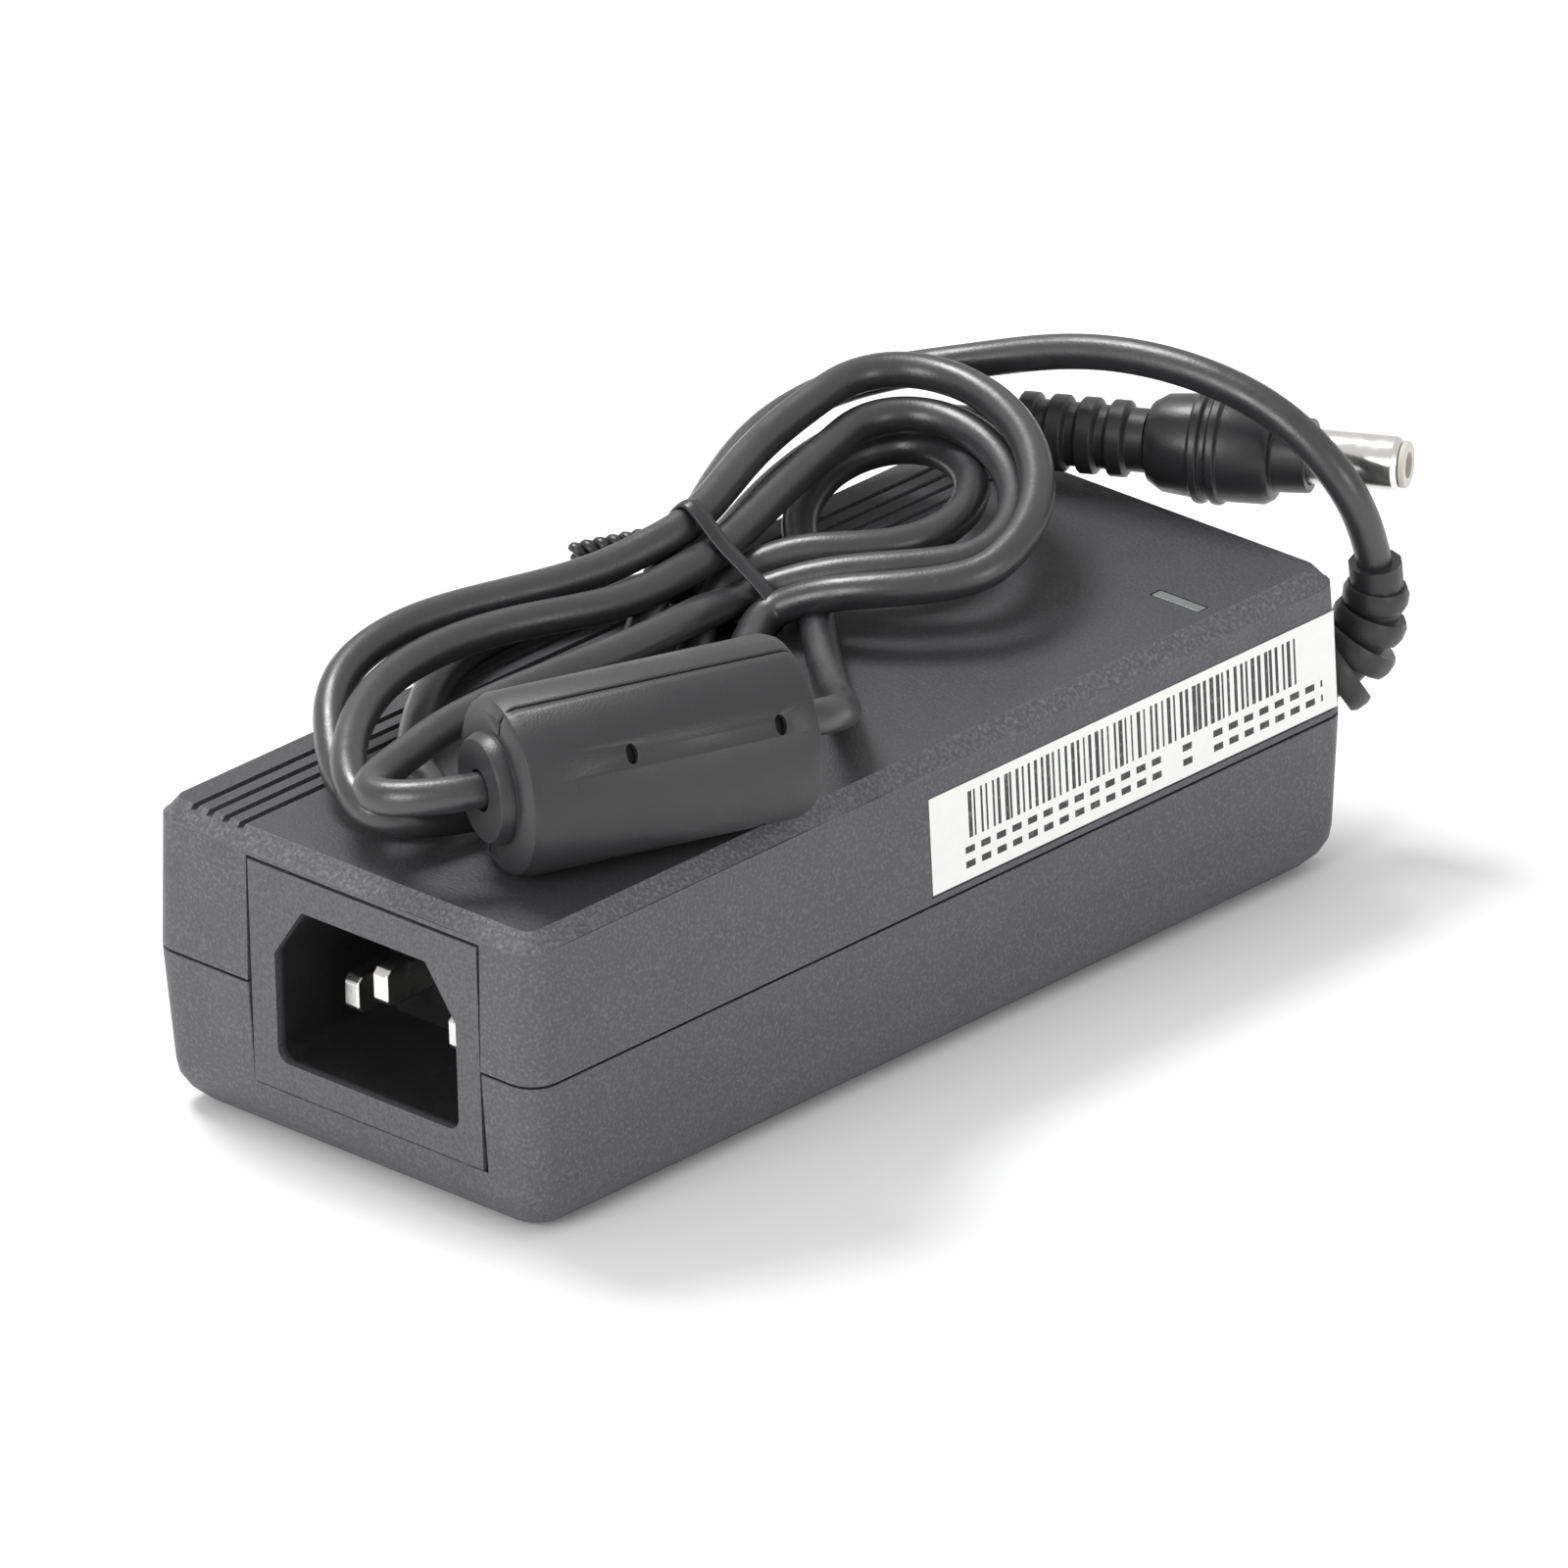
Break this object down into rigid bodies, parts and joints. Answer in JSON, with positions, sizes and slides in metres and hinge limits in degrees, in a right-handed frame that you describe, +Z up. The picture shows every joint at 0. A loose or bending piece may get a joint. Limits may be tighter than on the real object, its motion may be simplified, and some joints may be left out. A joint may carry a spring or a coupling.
{
  "type": "laptop power adapter",
  "caption": "Flat box-shaped laptop power adapter with a mains inlet in one end and a tied output cord that carries a ferrite sleeve and a barrel plug.",
  "frame": {"origin": "centre of the case's underside, the cord and what is on it left out", "axes": "+Z up; the case lies along Y with the mains inlet in its -Y end and the output cord at its +Y end; the printed side label is on the +X side"},
  "size_m": [0.0599, 0.1309, 0.0507],
  "materials": {
    "shell_plastic": "moulded plastic with a fine spark-eroded grain, dark grey",
    "nickel_plate": "bright nickel plate, lightly rubbed",
    "printed_label": "white printed film with plain black bars",
    "rating_film": "silver-grey film with plain printed blocks",
    "clear_plastic": "milky light guide, polished",
    "black_film": "black insulating film",
    "fibreglass": "green solder-resist board",
    "black_moulding": "black moulded component body",
    "can_sleeve": "shrunk sleeve, slightly glossy",
    "yellow_tape": "yellow insulating tape",
    "blue_ceramic": "dipped ceramic disc, glossy",
    "ferrite": "sintered ferrite, dark grey and matt",
    "copper_wire": "enamelled copper wire",
    "aluminium": "sheet aluminium, mill finish",
    "wire_sleeve": "soft wire sleeve",
    "cord_jacket": "soft matt jacket with a low sheen, dark grey",
    "plug_moulding": "soft moulded plug body, near black",
    "ferrite_plastic": "moulded plastic, satin, dark grey",
    "plug_insulation": "pale insulating sleeve",
    "tin_plate": "tin-plated spring contact",
    "tie_plastic": "plastic-covered wire tie, flat strip"
  },
  "bodies": {
    "root": {"lower_shell": "shell_plastic", "upper_shell": "shell_plastic", "inlet_housing": "shell_plastic", "line_pin": "nickel_plate", "neutral_pin": "nickel_plate", "earth_pin": "nickel_plate", "plug_barrel": "nickel_plate", "side_label": "printed_label", "rating_label": "rating_film", "light_pipe": "clear_plastic", "indicator_lamp": "clear_plastic", "insulation_sheet": "black_film", "circuit_board": "fibreglass", "mains_fuse": "black_moulding", "bridge_rectifier": "black_moulding", "switching_transistor": "black_moulding", "output_rectifier": "black_moulding", "optocoupler": "black_moulding", "control_chip": "black_moulding", "bulk_capacitor": "can_sleeve", "output_capacitor_left": "can_sleeve", "output_capacitor_right": "can_sleeve", "x_capacitor": "yellow_tape", "transformer_winding": "yellow_tape", "y_capacitor": "blue_ceramic", "choke_core": "ferrite", "transformer_core": "ferrite", "ferrite_core": "ferrite", "choke_winding": "copper_wire", "output_choke": "copper_wire", "primary_heat_sink": "aluminium", "secondary_heat_sink": "aluminium", "line_wire": "wire_sleeve", "neutral_wire": "wire_sleeve", "earth_wire": "wire_sleeve", "output_wire_positive": "wire_sleeve", "output_wire_negative": "wire_sleeve", "cord_lead": "cord_jacket", "cord_bundle": "cord_jacket", "cord_loop": "cord_jacket", "cord_tail": "cord_jacket", "cord_end": "cord_jacket", "strain_relief": "cord_jacket", "plug_strain_relief": "cord_jacket", "plug_body": "plug_moulding", "ferrite_cover": "ferrite_plastic", "plug_insulator": "plug_insulation", "plug_contact": "tin_plate", "cord_tie": "tie_plastic"}
  },
  "joints": []
}
